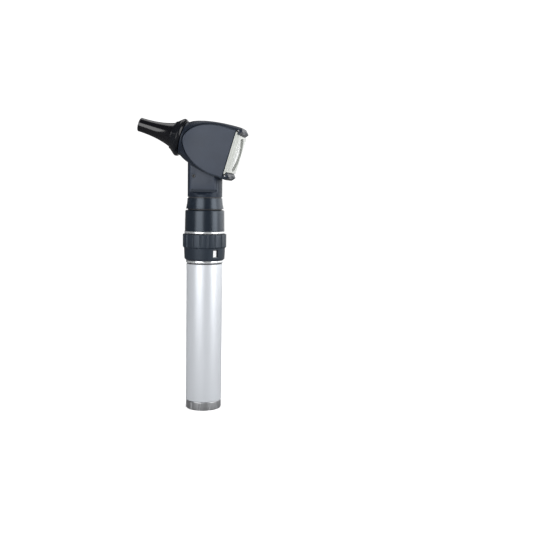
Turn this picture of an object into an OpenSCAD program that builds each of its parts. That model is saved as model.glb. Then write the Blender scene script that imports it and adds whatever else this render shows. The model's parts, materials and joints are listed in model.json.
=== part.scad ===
// Fibre-optic otoscope: a viewing head on a rechargeable battery handle.
// +Z runs up the handle and the origin is the centre of the base face.
// The speculum points towards -X and up, and the magnifier faces +X.

/* [Handle] */
// Outer diameter of the handle tube
tube_d = 25.5; // [24:0.1:26.4]
// Wall thickness of the handle tube
tube_wall = 1.2; // [1:0.1:1.4]
// Height of the upper end of the handle tube
tube_top = 103.6; // [100:0.1:120]
// Height of the visible rim of the base cap
cap_h = 6; // [4:0.5:7]

/* [Control collar] */
// Diameter over the grip ribs
rib_d = 30.8; // [30:0.1:33]
// Number of grip ribs
rib_count = 18; // [12:1:24]
// Height of the whole collar
collar_h = 18.4; // [17:0.1:20]
// Height of the ribbed band at its top
rib_h = 9.4; // [8:0.1:11]
// Diameter of the smooth band at its lower edge
collar_low_d = 28.4; // [28:0.1:29]
// Turn of the collar from off to full brightness, in degrees
dimmer_turn = 120; // [90:5:140]

/* [Coupling] */
// Diameter of the coupling sleeve
sleeve_d = 27.9; // [27.6:0.1:29]
// Height of the coupling sleeve
sleeve_h = 14.8; // [14:0.1:16]
// Turn that locks the head on the handle, in degrees
lock_turn = 25; // [15:1:35]

/* [Neck] */
// Diameter of the neck
neck_d = 24.4; // [24:0.1:26]
// Distance from the handle axis to each flat of the neck
neck_flat = 8.8; // [8.6:0.1:9.4]

/* [Head] */
// Tilt of the optical axis, up towards the speculum, in degrees
head_tilt = 16.7; // [15:0.1:19]
// Height of the point where the optical and handle axes cross
axis_z = 186.6; // [186.2:0.1:188]
// Full height of the head at its rear
head_h = 37.2; // [37:0.1:39]
// Full width of the head over its cheeks
head_w = 29; // [28.6:0.1:30]
// Diameter of the nose behind the speculum ring
nose_d = 24; // [23.6:0.1:25]

/* [Speculum] */
// Outer diameter of the tip
tip_d = 9.7; // [9:0.1:9.9]
// Distance of the tip ahead of the handle axis, along the optical axis
tip_reach = 49.3; // [47:0.1:50]
// Diameter of the rim of the speculum ring
ring_d = 26.7; // [26:0.1:28]
// Turn of the speculum ring, in degrees
ring_turn = 30; // [20:1:40]

/* [Magnifier] */
// Thickness of the lens block along the optical axis
lens_t = 3.3; // [3.2:0.1:5]
// Width of the lens block
lens_w = 29.6; // [29:0.1:31]
// Height of the lens block's front flange
lens_flange_h = 29.7; // [29.3:0.1:30]
// Diameter of the round magnifier lens
lens_d = 23.8; // [22:0.1:24]

/* [Hidden] */

$fn = 96;
eps = 0.01;
fit = 0.05;      // radial clearance of a running fit
slip = 0.1;      // clearance of an easy fit
gap = 0.25;      // clearance between faces that move past each other

// Heights along the handle, from the base up
tube_r = tube_d / 2;
tube_bore_r = tube_r - tube_wall;
tube_z = cap_h + 0.2;
cap_r = tube_r - 0.2;
cap_floor_z = cap_h + 2;
cap_spigot_z = cap_h + 7;
cap_spigot_r = tube_bore_r - 0.65;
seat_z = cap_floor_z + slip;
seat_t = 1.2;
spring_z = seat_z + seat_t;
cell_z = spring_z + 8.2;
cell_len = 65;
cell_r = 9.1;
plug_z = tube_top - 11.6;
groove_h = 0.8;
trim_h = 1.6;
trim_z = tube_top + groove_h;
collar_z = trim_z + trim_h + 0.15;
collar_top = collar_z + collar_h;
rib_z = collar_top - rib_h;
core_r = 12.85;
silver_z = collar_top + 0.35;
sleeve_z = silver_z + trim_h;
sleeve_top = sleeve_z + sleeve_h;
spigot_r = 10.9;
spigot_top = silver_z + 5.2;
pin_top = spigot_top + 1.3;
plug_low = pin_top + 0.5;
adapter_z = sleeve_top + 0.9;
adapter_top = adapter_z + 7.5;
neck_z = adapter_top + 0.7;
neck_r = neck_d / 2;
lamp_top = neck_z + 12.6;
neck_bore_r = 7;
lamp_r = neck_bore_r - slip;

// Distances along the optical axis, measured back from the handle axis
nose_u = -16;
nose_r = nose_d / 2;
rear_u = 20.4;
crown_u = 23;
lip_u = 24.9;
lip_v = 16.1;
rim_half = head_h / 2;
spigot_u = nose_u - 5.5;
ring_u = nose_u - 0.3;
ring_front_u = ring_u - 7.4;
base_u = ring_front_u - 0.3;
cone_tip_u = -36;
channel_v = 16.2;
hook_u = 22.5;
hook_v = 13.35;
profile_steps = 14;

// Shares of a range, for stepping along a profile
function mix(a, b, t) = a + (b - a) * t;
function steps(a, b, n) = [for (i = [0:n]) mix(a, b, i / n)];

// Half height of the head in side view
function rim_r(u) =
    let (t = max(0, crown_u - u) / (crown_u - nose_u))
    nose_r + (rim_half - nose_r) * pow(max(0, 1 - t * t), 0.95);

// Half width of the head in plan
function half_w(u) =
    let (t = max(0, 4 - u) / (4 - nose_u))
    nose_r + (head_w / 2 - nose_r) * (1 - t * t);

// Height of the cheek panel's edge, above (side 1) and below (side -1) the axis
cheek_nose_u = -14;
function cheek_v(u, side, grow = 0) =
    let (centre = side > 0 ? 12 : 15,
         reach = centre - cheek_nose_u + grow,
         height = (side > 0 ? 15.5 : 17.5) + grow,
         power = side > 0 ? 0.55 : 0.62,
         t = min(1, max(0, centre - u) / reach))
    height * pow(1 - t * t, power);

// Radius that rounds the head's corners so that they meet the cheek's edge
rim_gap = 0.7;
function corner_r(u, side) =
    norm([half_w(u), cheek_v(u, side, rim_gap)]);

module turned(profile) {
    rotate_extrude() polygon(profile);
}

module pipe(r_out, r_in, z0, z1) {
    difference() {
        translate([0, 0, z0]) cylinder(r = r_out, h = z1 - z0);
        translate([0, 0, z0 - 1]) cylinder(r = r_in, h = z1 - z0 + 2);
    }
}

module post(r, z0, z1) {
    translate([0, 0, z0]) cylinder(r = r, h = z1 - z0);
}

// A ring sector between two heights, starting at an angle about the handle
module sector(r_in, r_out, z0, z1, start, sweep) {
    translate([0, 0, z0]) rotate([0, 0, start])
        rotate_extrude(angle = sweep)
            translate([r_in, 0]) square([r_out - r_in, z1 - z0]);
}

// The head's own frame: X back along the optical axis, Z square to it
module in_head() {
    translate([0, 0, axis_z]) rotate([0, head_tilt, 0]) children();
}

// Turned about the optical axis, with heights read as distances along it
module on_axis() {
    in_head() rotate([0, 90, 0]) children();
}

// A solid through a row of rings that all have the same number of points
module skin(rings) {
    n = len(rings[0]);
    last = len(rings) - 1;
    walls = [for (i = [0:last - 1], k = [0:n - 1])
        let (next = (k + 1) % n)
        [i * n + k, (i + 1) * n + k, (i + 1) * n + next, i * n + next]];
    ends = [[for (k = [0:n - 1]) k], [for (k = [n - 1:-1:0]) last * n + k]];
    polyhedron([for (ring = rings) each ring], concat(walls, ends));
}

// A round wire wound into an open coil spring
module coil(r, wire_r, z0, z1, turns) {
    sides = 6;
    count = turns * 14;
    low = z0 + wire_r;
    rise = z1 - z0 - 2 * wire_r;
    skin([for (i = [0:count])
        let (a = 360 * turns * i / count)
        [for (k = [0:sides - 1])
            let (b = 360 * k / sides, reach = r + wire_r * cos(b))
            [reach * cos(a), reach * sin(a), low + rise * i / count + wire_r * sin(b)]]]);
}

// ---------------------------------------------------------------- base and battery

module base_cap() {
    chamfer = 0.8;
    thread_pitch = 1.5;
    thread_h = 0.4;
    notch_r = 1.1;
    color("#b9bcbf") difference() {
        union() {
            turned([[0, 0], [cap_r - chamfer, 0], [cap_r, chamfer], [cap_r, cap_h],
                    [cap_spigot_r, cap_h], [cap_spigot_r, cap_spigot_z],
                    [0, cap_spigot_z]]);
            for (i = [0:2])
                translate([0, 0, cap_h + 3 + i * thread_pitch])
                    turned([[cap_spigot_r - slip, -0.4], [cap_spigot_r + thread_h, 0],
                            [cap_spigot_r - slip, 0.4]]);
        }
        post(4.2, -1, cap_floor_z + 1);
        post(9.8, cap_floor_z, cap_spigot_z + 1);
        translate([0, 0, cap_h + 1.1]) rotate_extrude()
            translate([cap_spigot_r, 0]) circle(r = 0.8);
        for (a = [0:30:330]) rotate([0, 0, a])
            translate([cap_r + 0.5, 0, -1]) cylinder(r = notch_r, h = cap_h + 0.2);
    }
}

module cap_o_ring() {
    color("#202020") translate([0, 0, cap_h + 1.1]) rotate_extrude()
        translate([cap_spigot_r - 0.1, 0]) circle(r = 0.65);
}

module cap_insulator() {
    color("#ece8dc") pipe(4.15, 2.5, 0.4, seat_z);
}

module charge_contact() {
    color("#c9a24a") turned([[0, 0], [1.8, 0], [2.4, 0.6], [2.4, seat_z], [0, seat_z]]);
}

module battery_seat() {
    color("#c9a24a") post(9.5, seat_z, spring_z);
}

module battery_spring() {
    color("#c8c8c8") coil(6, 0.7, spring_z, cell_z, 4);
}

module handle_tube() {
    color("#c4c7cb") pipe(tube_r, tube_bore_r, tube_z, tube_top);
}

module battery_cell() {
    top = cell_z + cell_len;
    nub_r = 3;
    nub_h = 1.5;
    color("#4d7fb3") turned([[0, cell_z], [cell_r - 0.5, cell_z], [cell_r, cell_z + 0.5],
                            [cell_r, top - 0.5], [cell_r - 0.5, top], [nub_r, top],
                            [nub_r, top + nub_h], [0, top + nub_h]]);
}

module battery_sleeve() {
    color("#e6e6e0") pipe(tube_bore_r - slip, cell_r + slip, cell_z, plug_z - 1);
}

// ---------------------------------------------------------------- switch and dimmer

module battery_contact() {
    low = cell_z + cell_len + 1.6;
    color("#c9a24a") turned([[0, low], [4, low], [4, low + 1], [2, low + 1],
                            [2, plug_z + 5], [0, plug_z + 5]]);
}

ledge_z = collar_z + 6;
slot_z = ledge_z + 3.7;
slot_h = 2.6;
peg_angle = 100;

module switch_housing() {
    bore_r = 10.3;
    insulator_r = 8;
    color("#26272a") difference() {
        turned([[0, plug_z], [tube_bore_r - slip, plug_z],
                [tube_bore_r - slip, tube_top + slip], [12.3, tube_top + slip],
                [12.3, collar_z - 0.1], [core_r, collar_z - 0.1],
                [core_r, collar_top + 0.15], [spigot_r, collar_top + 0.15],
                [spigot_r, spigot_top], [0, spigot_top]]);
        post(2 + slip, plug_z - 1, plug_z + 5);
        post(9.2, plug_z + 4, ledge_z + eps);
        post(bore_r, ledge_z, collar_top - 1);
        post(insulator_r + slip, collar_top - 2, spigot_top + 1);
        sector(bore_r - 1, core_r + 1, slot_z, slot_z + slot_h, peg_angle - 9, dimmer_turn + 18);
        indicator_pocket(0);
    }
}

module lower_trim_ring() {
    color("#eceef0") turned([[12.35, trim_z], [12.8, trim_z], [13.1, trim_z + 0.3],
                            [13.1, trim_z + trim_h - 0.3], [12.9, trim_z + trim_h],
                            [12.35, trim_z + trim_h]]);
}

module resistor_track() {
    color("#5a4438") pipe(10.2, 6.5, ledge_z + fit, ledge_z + 1.2);
}

window_angle = -45;
window_w = 4.3;
window_h = 5.5;
window_z = rib_z - 6.45;

// The shallow seat of the white tile behind the collar's window
module indicator_pocket(shrink) {
    tile_w = 3.4 - 2 * shrink;
    tile_h = 4.8 - 2 * shrink;
    rotate([0, 0, window_angle])
        translate([core_r - 0.5 + shrink, -1.95 + shrink, window_z - 0.2 + shrink])
            cube([1.5, tile_w, tile_h]);
}

module indicator_tile() {
    color("#f4f4f2") intersection() {
        indicator_pocket(0.04);
        translate([0, 0, window_z - 2])
            cylinder(r = core_r - fit, h = window_h + 4, $fn = 360);
    }
}

module control_collar() {
    rib_r = rib_d / 2;
    low_r = collar_low_d / 2;
    mid_r = low_r + 0.35;
    bevel = 1.1;
    flute_r = 0.9;
    color("#3a3b40") difference() {
        turned([[core_r + fit, collar_z], [low_r - bevel, collar_z],
                [low_r, collar_z + bevel], [mid_r, rib_z - 0.3], [rib_r, rib_z + 0.3],
                [rib_r, collar_top - 0.7], [rib_r - 0.7, collar_top],
                [core_r + fit, collar_top]]);
        for (i = [0:rib_count - 1]) rotate([0, 0, 360 * (i + 0.5) / rib_count])
            translate([rib_r + 0.35, 0, rib_z]) cylinder(r = flute_r, h = rib_h + 1);
        rotate([0, 0, window_angle])
            translate([core_r - 1, -window_w / 2, window_z])
                cube([4, window_w, window_h]);
        rotate([0, 0, peg_angle]) translate([0, 0, slot_z + slot_h / 2])
            rotate([0, 90, 0]) cylinder(r = 1.1 + fit, h = core_r + 1);
    }
}

module drive_peg() {
    color("#c9a24a") rotate([0, 0, peg_angle]) translate([8.6, 0, slot_z + slot_h / 2])
        rotate([0, 90, 0]) cylinder(r = 1.1, h = core_r + 0.9 - 8.6);
}

module wiper() {
    color("#c98f4a") difference() {
        sector(8.4, 9.6, ledge_z + 1.35, slot_z + 2.4, peg_angle - 7, 14);
        rotate([0, 0, peg_angle]) translate([8, 0, slot_z + slot_h / 2])
            rotate([0, 90, 0]) cylinder(r = 1.1 + fit, h = 3);
    }
}

cavity_z = ledge_z + 6;
flange_z = pin_top - 7.2;

module contact_insulator() {
    color("#e8e2d0") difference() {
        post(8, cavity_z - 1.2, spigot_top);
        post(4.2, cavity_z, flange_z + 1.8);
        post(2.5 + fit, cavity_z, spigot_top + 1);
    }
}

module contact_pin() {
    color("#d8b860") turned([[0, flange_z], [3.9, flange_z], [3.9, flange_z + 1.6],
                            [2.5, flange_z + 1.6], [2.5, pin_top - 0.6],
                            [1.9, pin_top], [0, pin_top]]);
}

module contact_spring() {
    color("#c8c8c8") coil(3, 0.35, cavity_z, flange_z, 5);
}

// ---------------------------------------------------------------- coupling

module upper_trim_ring() {
    r = sleeve_d / 2 + 0.3;
    color("#f2f4f6") turned([[spigot_r + fit, silver_z], [r - 0.3, silver_z],
                            [r, silver_z + 0.3], [r, sleeve_z - 0.3],
                            [r - 0.3, sleeve_z], [spigot_r + fit, sleeve_z]]);
}

pin_z = sleeve_top - 4.4;
pin_r = 1.1;
pin_angles = [0, 120, 240];

module coupling_sleeve() {
    r = sleeve_d / 2;
    slot_r = 12.4;
    side = 7;
    color("#3a3b40") difference() {
        turned([[spigot_r + slip, sleeve_z], [r, sleeve_z], [r, sleeve_z + 1],
                [r - 0.2, sleeve_top - 1], [r - 0.5, sleeve_top - 0.35],
                [r - 1.1, sleeve_top], [spigot_r + slip, sleeve_top]]);
        for (a = pin_angles) {
            sector(spigot_r - 1, slot_r, pin_z - pin_r - 0.3, pin_z + pin_r + 0.3,
                   a - side, lock_turn + 2 * side);
            sector(spigot_r - 1, slot_r - 0.1, pin_z, sleeve_top + 1,
                   a + lock_turn - side + 0.6, 2 * side - 1.2);
        }
    }
}

// ---------------------------------------------------------------- lamp

module lamp_housing() {
    color("#2c2d31") difference() {
        turned([[0, plug_low], [spigot_r - 0.4, plug_low], [spigot_r, plug_low + 0.4],
                [spigot_r, sleeve_top + 0.2], [12, sleeve_top + 0.2], [12, adapter_z],
                [10.2, adapter_z], [10.2, adapter_top], [11.6, adapter_top],
                [11.6, neck_z], [lamp_r, neck_z], [lamp_r, lamp_top], [0, lamp_top]]);
        post(6.1, plug_low - 1, plug_low + 4.2);
        post(4.8, plug_low + 4, lamp_top + 1);
        for (a = pin_angles) bayonet_pin(a, fit);
    }
}

module bayonet_pin(a, grow) {
    rotate([0, 0, a]) translate([9, 0, pin_z]) rotate([0, 90, 0])
        cylinder(r = pin_r + grow, h = 3.1);
}

module bayonet_pins() {
    color("#b8bcc0") for (a = pin_angles) bayonet_pin(a, 0);
}

module lamp_insulator() {
    color("#e8e2d0") pipe(6, 2.6, plug_low, plug_low + 4.1);
}

module head_contact() {
    color("#d8b860") turned([[0, pin_top + 0.2], [1.9, pin_top + 0.2], [2.5, pin_top + 0.8],
                            [2.5, plug_low + 4.1], [0, plug_low + 4.1]]);
}

lamp_z = plug_low + 4.2;
bulb_z = lamp_z + 13;

module lamp_base() {
    color("#c9a24a") turned([[0, lamp_z], [3.4, lamp_z], [3.4, lamp_z + 1],
                            [4.7, lamp_z + 1], [4.7, bulb_z], [3.2, bulb_z],
                            [3.2, bulb_z - 2], [0, bulb_z - 2]]);
}

module lamp_bulb() {
    color("#dfe8ee", 0.5) union() {
        post(3.1, bulb_z - 2, bulb_z + 9);
        translate([0, 0, bulb_z + 9]) sphere(r = 3.1);
    }
}

module adapter_ring() {
    r = neck_r + 0.1;
    flare = 1;
    h = adapter_top - adapter_z;
    color("#3f4046") turned([[10.25, adapter_z], [r + flare - 0.3, adapter_z],
                            [r + flare, adapter_z + 0.3],
                            for (t = [0.2:0.1:1]) [r + flare * pow(1 - t, 2), adapter_z + h * t],
                            [10.25, adapter_top]]);
}

// ---------------------------------------------------------------- head

// Side view of the head, swept across its width
module side_sweep(grow) {
    top = [for (u = steps(nose_u, crown_u, profile_steps)) [u, rim_r(u) + grow]];
    low = [for (u = steps(crown_u, nose_u, profile_steps)) [u, -rim_r(u) - grow]];
    ends = [[lip_u, lip_v + grow], [lip_u, -lip_v - grow]];
    rotate([90, 0, 0]) linear_extrude(head_w + 4, center = true)
        polygon(concat(top, ends, low));
}

// Plan of the head, swept over its height
module plan_sweep(inset) {
    right = [for (u = steps(nose_u, 4, 8)) [u, half_w(u) - inset]];
    left = [for (u = steps(4, nose_u, 8)) [u, inset - half_w(u)]];
    ends = [[lip_u + 1, head_w / 2 - inset], [lip_u + 1, inset - head_w / 2]];
    linear_extrude(head_h + 4, center = true) polygon(concat(right, ends, left));
}

// The upper (side 1) or lower (side -1) half that rounds the head's corners
module corner_turn(side) {
    curve = [for (u = steps(nose_u, crown_u, profile_steps)) [corner_r(u, side), u]];
    rotate([0, 90, 0]) rotate([0, 0, side * 90]) rotate_extrude(angle = 180)
        polygon(concat([[0, nose_u]], curve,
                       [[corner_r(crown_u, side), lip_u], [0, lip_u]]));
}

module head_solid() {
    intersection() {
        side_sweep(0);
        plan_sweep(0);
        union() {
            corner_turn(1);
            corner_turn(-1);
        }
    }
}

// Side view of a cheek panel, swept through the head
module cheek_sweep(grow) {
    far_u = rear_u + 1;
    top = [for (u = steps(cheek_nose_u - grow, far_u, 24)) [u, cheek_v(u, 1, grow)]];
    low = [for (u = steps(far_u, cheek_nose_u - grow, 24)) [u, -cheek_v(u, -1, grow)]];
    rotate([90, 0, 0]) linear_extrude(head_w + 4, center = true)
        polygon(concat(top, [for (i = [0:len(low) - 2]) low[i]]));
}

chamber_r = 11.6;
nose_bore_r = 7.2;
spigot_out_r = 8.6;

module neck_solid() {
    cut_in = 1;
    difference() {
        post(neck_r, neck_z, axis_z - 8);
        for (s = [1, -1]) {
            scale([1, s, 1]) translate([-neck_d, neck_flat - cut_in, neck_z + 5.1])
                cube([2 * neck_d, neck_d, axis_z]);
            scale([1, s, 1]) neck_undercut();
        }
    }
}

// The dark scoop under each neck plate, with a floor that rises inwards
module neck_undercut() {
    deep = neck_flat - 1.4;
    rotate([90, 0, 90]) linear_extrude(2 * neck_d, center = true)
        polygon([[neck_r + 1, neck_z + 1.6], [neck_flat, neck_z + 3.6],
                 [deep, neck_z + 3.6], [deep, neck_z + 5.2],
                 [neck_r + 1, neck_z + 5.2]]);
}

// The side-to-side channel for the lens block, with a hook on each lip to keep it in
module lens_channel() {
    hook_t = 0.4;
    mouth_v = 17.1;
    rotate([90, 0, 0]) linear_extrude(head_w + 4, center = true)
        polygon([[rear_u, channel_v], [hook_u, channel_v], [hook_u, hook_v],
                 [hook_u + hook_t, hook_v], [lip_u + 1, mouth_v], [lip_u + 1, -mouth_v],
                 [hook_u + hook_t, -hook_v], [hook_u, -hook_v], [hook_u, -channel_v],
                 [rear_u, -channel_v]]);
}

module head_shell() {
    scoop_r = 40;
    scoop_in = 1;
    color("#474a53") difference() {
        union() {
            in_head() head_solid();
            neck_solid();
            on_axis() post(spigot_out_r, spigot_u, nose_u + 1);
        }
        in_head() lens_channel();
        in_head() for (s = [1, -1]) scale([1, s, 1]) cheek_pocket();
        on_axis() turned([[0, nose_u], [nose_bore_r, nose_u], [chamber_r, rear_u + 1],
                          [0, rear_u + 1]]);
        on_axis() post(nose_bore_r, spigot_u - 1, nose_u + 1);
        on_axis() translate([0, 0, clip_u]) rotate_extrude()
            translate([spigot_out_r - 0.5, 0]) square([1, clip_t + 0.1]);
        in_head() translate([lip_u - scoop_in + scoop_r, 0, -head_h])
            cylinder(r = scoop_r, h = 2 * head_h);
        post(neck_bore_r, neck_z - 1, lamp_top + 1.6);
        post(1.8, lamp_top, axis_z - 6);
        screw_hole(1.25);
    }
}

module cheek_pocket() {
    intersection() {
        cheek_sweep(rim_gap);
        difference() {
            plan_sweep(-1);
            plan_sweep(1.5);
        }
        translate([0, head_w, 0]) cube(2 * head_w, center = true);
    }
}

module cheek(s) {
    color("#4b4f59") in_head() scale([1, s, 1]) intersection() {
        cheek_sweep(0);
        difference() {
            plan_sweep(0.05);
            plan_sweep(1.45);
        }
        translate([rear_u - 0.1 - 2 * head_w, 0, -head_w]) cube(2 * head_w);
    }
}

module neck_plate(s) {
    plate_t = 0.95;
    color("#4b4f59") difference() {
        intersection() {
            post(neck_r - 0.05, neck_z + 5.2, axis_z);
            scale([1, s, 1]) translate([-neck_d, neck_flat - plate_t, neck_z])
                cube([2 * neck_d, plate_t, axis_z]);
        }
        in_head() side_sweep(0.5);
        screw_hole(1.25);
    }
}

screw_x = -6.2;
screw_z = neck_z + 14.5;

module screw_hole(r) {
    translate([screw_x, -3, screw_z]) rotate([90, 0, 0]) cylinder(r = r, h = neck_r);
}

module lamp_screw() {
    color("#1c1c1e") difference() {
        translate([screw_x, -6.1, screw_z]) rotate([90, 0, 0]) cylinder(r = 1.15, h = 2.6);
        translate([screw_x, -7.5, screw_z]) rotate([90, 0, 0])
            cylinder(r = 0.65, h = 2, $fn = 6);
    }
}

// ---------------------------------------------------------------- light path

// The bundle rises from the lamp, bends, and runs forward under the sight line
module fibre_bundle() {
    r = 1.5;
    sides = 12;
    bends = 10;
    offset_v = 5.6;
    bend_r = 7;
    turn = 90 - head_tilt;
    end_v = offset_v + bend_r * (1 - cos(turn));
    bend_u = end_v * tan(head_tilt) - bend_r * sin(turn);
    drop = axis_z - end_v / cos(head_tilt) - lamp_top - 1.8;
    run = bend_u + 16.8;
    function ring(a, shift) = [for (k = [0:sides - 1])
        let (b = 360 * k / sides, reach = bend_r + r * cos(b))
        shift + [bend_u + reach * cos(a), r * sin(b),
                 reach * sin(a) - offset_v - bend_r]];
    color("#d9c98f") in_head() skin(concat(
        [ring(90 - turn, drop * [sin(head_tilt), 0, -cos(head_tilt)])],
        [for (i = [0:bends]) ring(90 - turn + turn * i / bends, [0, 0, 0])],
        [ring(90, [-run, 0, 0])]));
}

// One skin of the nested light cones: outer radii and wall
module cone_skin(tip_r, root_r, wall, plug_r) {
    root_u = spigot_u - 0.3;
    knee_u = -27;
    knee_r = mix(tip_r, root_r, 0.68);
    end_u = -17;
    turned([[tip_r - wall, cone_tip_u], [tip_r, cone_tip_u], [knee_r, knee_u],
            [root_r, root_u - 1], [plug_r, root_u], [plug_r, end_u],
            [plug_r - wall, end_u], [plug_r - wall, root_u],
            [root_r - wall, root_u - 1], [knee_r - wall, knee_u]]);
}

module outer_cone() {
    color("#2a2b2e") on_axis() cone_skin(4.3, 7.15, 0.4, 7.15);
}

module fibre_cone() {
    color("#f0ead0") on_axis() cone_skin(3.87, 6.72, 0.22, 6.72);
}

module sight_tube() {
    color("#1a1a1c") on_axis() cone_skin(3.62, 6.47, 0.35, 6.47);
}

clip_u = spigot_u + 0.5;
clip_t = 0.6;

module ring_clip() {
    color("#9a9da1") on_axis() translate([0, 0, clip_u + 0.05]) rotate([0, 0, 20])
        rotate_extrude(angle = 320)
            translate([spigot_out_r - 0.45, 0]) square([1.1, clip_t - 0.1]);
}

// ---------------------------------------------------------------- speculum

key_angles = [90, 270];

module speculum_ring() {
    rim_r = ring_d / 2;
    front_r = 9.9;
    front_bore_r = 9.05;
    slot_r = 9.6;
    slot_w = 2.4;
    recess_r = 9.5;
    recess_u = clip_u + clip_t + 0.3;
    mouth_u = ring_front_u + 1.9;
    color("#1f2023") on_axis() difference() {
        turned([[spigot_out_r + fit, ring_u], [rim_r - 1, ring_u], [rim_r - 0.6, ring_u - 0.5],
                [rim_r - 0.1, ring_u - 1.4], [rim_r, ring_u - 2.2], [rim_r - 0.25, ring_u - 2.9],
                [front_r + 0.15, ring_front_u + 0.7], [front_r, ring_front_u + 0.25],
                [front_r - 0.1, ring_front_u], [front_bore_r, ring_front_u],
                [front_bore_r, mouth_u], [recess_r, mouth_u], [recess_r, recess_u],
                [spigot_out_r + fit, recess_u]]);
        for (a = key_angles) rotate([0, 0, a])
            translate([0, -slot_w / 2, ring_front_u - 1]) cube([slot_r, slot_w, 2.9]);
    }
}

module speculum() {
    tip_u = -tip_reach;
    tip_r = tip_d / 2;
    wall = 0.75;
    lip = 0.25;
    seat_r = 8.8;
    foot_r = 7.8;
    base_end_u = ring_front_u + 1.6;
    grow = seat_r - tip_r;
    function bell(t) = tip_r + grow * (0.1 * t + 0.9 * pow(t, 2.5));
    outer = [for (t = [0.06:0.06:1]) [bell(t), mix(tip_u, base_u, t)]];
    inner = [for (i = [len(outer) - 1:-1:0]) [outer[i][0] - wall, outer[i][1]]];
    color("#101114") on_axis() union() {
        turned(concat([[tip_r - wall, tip_u + lip], [tip_r - wall + lip, tip_u],
                       [tip_r - lip, tip_u], [tip_r, tip_u + lip]],
                      outer, [[seat_r, base_u], [seat_r, base_end_u],
                              [foot_r, base_end_u], [foot_r, base_u]],
                      inner));
        for (a = key_angles) rotate([0, 0, a])
            translate([8.3, -0.95, ring_front_u + 0.2]) cube([1.05, 1.9, 1.4]);
    }
}

// ---------------------------------------------------------------- magnifier

lens_u = rear_u + 0.3;
flange_t = 1.2;

module lens_springs() {
    leaf_w = 22;
    leaf_t = 0.3;
    front = rear_u + 0.6;
    back = hook_u - 0.05;
    top = channel_v - 0.05;
    color("#8f9296") in_head() for (s = [1, -1])
        scale([1, 1, s]) rotate([90, 0, 0]) linear_extrude(leaf_w, center = true)
            polygon([[back, 13.7], [back, top], [front, top], [front, top - leaf_t],
                     [back - leaf_t, top - leaf_t], [back - leaf_t, 13.7]]);
}

module lens_block() {
    block_half = hook_v - gap;
    flange_half = lens_flange_h / 2;
    color("#dfe8e2", 0.6) in_head() difference() {
        rotate([90, 0, 0]) linear_extrude(lens_w, center = true)
            polygon([[lens_u, flange_half], [lens_u + flange_t, flange_half],
                     [lens_u + flange_t, block_half], [lens_u + lens_t, block_half],
                     [lens_u + lens_t, -block_half], [lens_u + flange_t, -block_half],
                     [lens_u + flange_t, -flange_half], [lens_u, -flange_half]]);
        rotate([0, 90, 0]) post(lens_d / 2 + fit, lens_u + 0.8, lens_u + lens_t + 1);
        rotate([0, 90, 0]) post(lens_d / 2 - 0.7, lens_u - 1, lens_u + lens_t);
    }
}

module magnifier_lens() {
    r = lens_d / 2;
    edge_t = 0.9;
    crown = 1.5;
    curve_r = (r * r + crown * crown) / (2 * crown);
    front = lens_u + 0.85;
    color("#eef4f4", 0.45) on_axis() intersection() {
        post(r, front, lens_u + lens_t + 1);
        translate([0, 0, front + edge_t + crown - curve_r]) sphere(r = curve_r, $fn = 300);
    }
}

base_cap();
cap_o_ring();
cap_insulator();
charge_contact();
battery_seat();
battery_spring();
handle_tube();
battery_cell();
battery_sleeve();
battery_contact();
switch_housing();
lower_trim_ring();
resistor_track();
indicator_tile();
control_collar();
drive_peg();
wiper();
contact_insulator();
contact_pin();
contact_spring();
upper_trim_ring();
coupling_sleeve();
lamp_housing();
bayonet_pins();
lamp_insulator();
head_contact();
lamp_base();
lamp_bulb();
adapter_ring();
head_shell();
neck_plate(-1);  // left_neck_plate
neck_plate(1);  // right_neck_plate
lamp_screw();
cheek(-1);  // left_cheek
cheek(1);  // right_cheek
fibre_bundle();
outer_cone();
fibre_cone();
sight_tube();
ring_clip();
speculum_ring();
speculum();
lens_springs();
lens_block();
magnifier_lens();
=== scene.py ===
"""The looks of an otoscope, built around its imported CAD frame.

All sizes are in metres in the frame's own axes: Z up the handle, -X the way the
speculum points. Each turned or lofted piece takes its place and size from the CAD
node that it stands for, and adds the rounding, grip and finish of the real piece.
"""
import json
import math

import bmesh
import bpy
from mathutils import Matrix, Vector


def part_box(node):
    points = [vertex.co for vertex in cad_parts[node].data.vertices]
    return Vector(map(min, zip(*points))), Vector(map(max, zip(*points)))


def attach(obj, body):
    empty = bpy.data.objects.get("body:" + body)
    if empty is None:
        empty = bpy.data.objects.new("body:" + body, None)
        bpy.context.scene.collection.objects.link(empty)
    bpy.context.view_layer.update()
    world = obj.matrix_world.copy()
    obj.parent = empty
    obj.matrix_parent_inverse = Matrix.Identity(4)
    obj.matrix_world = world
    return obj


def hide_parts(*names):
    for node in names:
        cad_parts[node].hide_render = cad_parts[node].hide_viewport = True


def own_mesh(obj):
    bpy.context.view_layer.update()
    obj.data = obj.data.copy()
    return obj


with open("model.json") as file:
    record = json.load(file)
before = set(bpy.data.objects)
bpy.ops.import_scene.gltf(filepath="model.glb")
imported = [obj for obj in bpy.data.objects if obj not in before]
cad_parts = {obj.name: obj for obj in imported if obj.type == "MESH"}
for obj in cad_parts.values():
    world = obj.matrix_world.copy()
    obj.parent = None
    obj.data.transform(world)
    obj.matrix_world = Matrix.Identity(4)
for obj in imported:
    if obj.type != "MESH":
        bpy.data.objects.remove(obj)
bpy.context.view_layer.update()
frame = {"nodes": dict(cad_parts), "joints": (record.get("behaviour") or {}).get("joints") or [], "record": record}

MM = 0.001
NODES = frame["nodes"]
JOINTS = {joint["name"]: joint for joint in frame["joints"]}
SCENE = bpy.context.scene


# ---------------------------------------------------------------- the head's own frame

def optical_frame():
    """X back along the optical axis, Y across the head, Z square to both."""
    joint = JOINTS["ring_turn"]
    back = -Vector(joint["axis"]).normalized()
    across = Vector((0, 1, 0))
    up = back.cross(across)
    place = Matrix((back, across, up)).transposed().to_4x4()
    place.translation = Vector(joint["pos_m"])
    return place


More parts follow.
